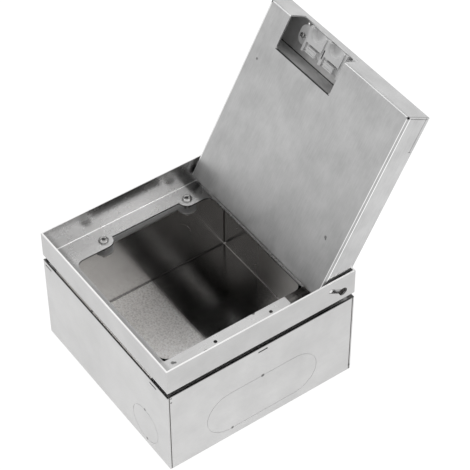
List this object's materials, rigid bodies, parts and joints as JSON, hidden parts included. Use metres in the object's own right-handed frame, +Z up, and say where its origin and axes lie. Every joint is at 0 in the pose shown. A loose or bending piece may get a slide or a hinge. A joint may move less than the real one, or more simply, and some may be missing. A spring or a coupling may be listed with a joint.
{
  "type": "floor socket box",
  "caption": "Square sheet-metal floor box with knockouts, a height-adjustable cover frame and a sliding-pin hinged lid tray with shuttered cord exits.",
  "frame": {"origin": "middle of the underside of the back box", "axes": "+X to the right as seen from the free edge of the lid, +Y toward the hinge side, +Z up"},
  "size_m": [0.2, 0.274, 0.2837],
  "materials": {
    "steel_sheet": "brushed",
    "fastener_steel": "bright zinc",
    "pale_plastic": "satin",
    "pale_nylon": "satin"
  },
  "bodies": {
    "box": {"back_box_shell": "steel_sheet", "knockout_right": "steel_sheet", "knockout_left": "steel_sheet", "knockout_front": "steel_sheet", "knockout_back": "steel_sheet", "bracket_left": "steel_sheet", "bracket_right": "steel_sheet", "press_nuts": "fastener_steel"},
    "frame": {"cover_frame": "steel_sheet", "levelling_screws": "fastener_steel", "screw_washers": "fastener_steel"},
    "bushes": {"hinge_bush_left": "pale_nylon", "hinge_bush_right": "pale_nylon"},
    "lid": {"lid_tray": "steel_sheet", "lid_bridge_plate": "steel_sheet", "cord_outlet": "pale_plastic", "outlet_screws": "fastener_steel", "hinge_pin_left": "fastener_steel", "hinge_pin_right": "fastener_steel"},
    "shutter_left": {"cord_shutter_left": "pale_plastic"},
    "shutter_right": {"cord_shutter_right": "pale_plastic"}
  },
  "joints": [
    {"name": "frame_lift", "type": "slide", "parent": "box", "child": "frame", "axis": [0, 0, 1], "range_m": [-0.0035, 0.005]},
    {"name": "bush_slide", "type": "slide", "parent": "frame", "child": "bushes", "axis": [0, 0.8466, -0.5322], "range_m": [0, 0.0124]},
    {"name": "lid_hinge", "type": "hinge", "parent": "bushes", "child": "lid", "pos_m": [0, 0.0731, 0.1237], "axis": [1, 0, 0], "range_deg": [0, 118.8]},
    {"name": "shutter_left_slide", "type": "slide", "parent": "lid", "child": "shutter_left", "axis": [0, -0.4818, -0.8763], "range_m": [0, 0.0097]},
    {"name": "shutter_right_slide", "type": "slide", "parent": "lid", "child": "shutter_right", "axis": [0, -0.4818, -0.8763], "range_m": [0, 0.0097]}
  ],
  "couplings": [
    {"joint": "lid_hinge", "follows": "bush_slide", "rad_per_m": 167.18}
  ]
}
